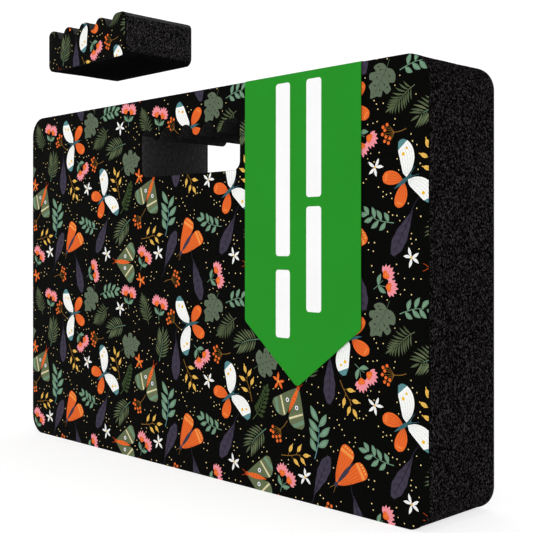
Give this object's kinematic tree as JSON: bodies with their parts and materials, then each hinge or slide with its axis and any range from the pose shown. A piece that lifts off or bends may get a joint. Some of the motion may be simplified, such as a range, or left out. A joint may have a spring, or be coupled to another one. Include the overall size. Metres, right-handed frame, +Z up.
{
  "type": "garden kneeling pad",
  "caption": "Thick rectangular foam kneeling pad with a printed cover, a wave-topped hand slot, a loose cut-out block and a folded card band.",
  "frame": {"origin": "middle of the bottom long edge, where the pad stands, at the middle of its thickness", "axes": "+Z up through the hand slot's edge, +X to the right along the printed face, -Y out of the printed kneeling face, +Y out of the plain back"},
  "size_m": [0.44, 0.0734, 0.3604],
  "materials": {
    "foam": "matte closed-cell foam, die-cut, with a fine grain of pale specks",
    "printed_cover": "printed fabric skin, near-black with a botanical pattern",
    "back_cover": "plain black non-slip skin",
    "label_card": "satin printed card",
    "tape": "translucent double-sided tape"
  },
  "bodies": {
    "pad": {"foam_core": "foam", "front_cover": "printed_cover", "back_cover": "back_cover", "label_band": "label_card", "band_tape": "tape"},
    "plug": {"plug_core": "foam", "plug_front_cover": "printed_cover", "plug_back_cover": "back_cover"}
  },
  "joints": [
    {"name": "plug_lift", "type": "slide", "parent": "pad", "child": "plug", "axis": [0, 0, 1], "range_m": [0, 0.05]}
  ]
}
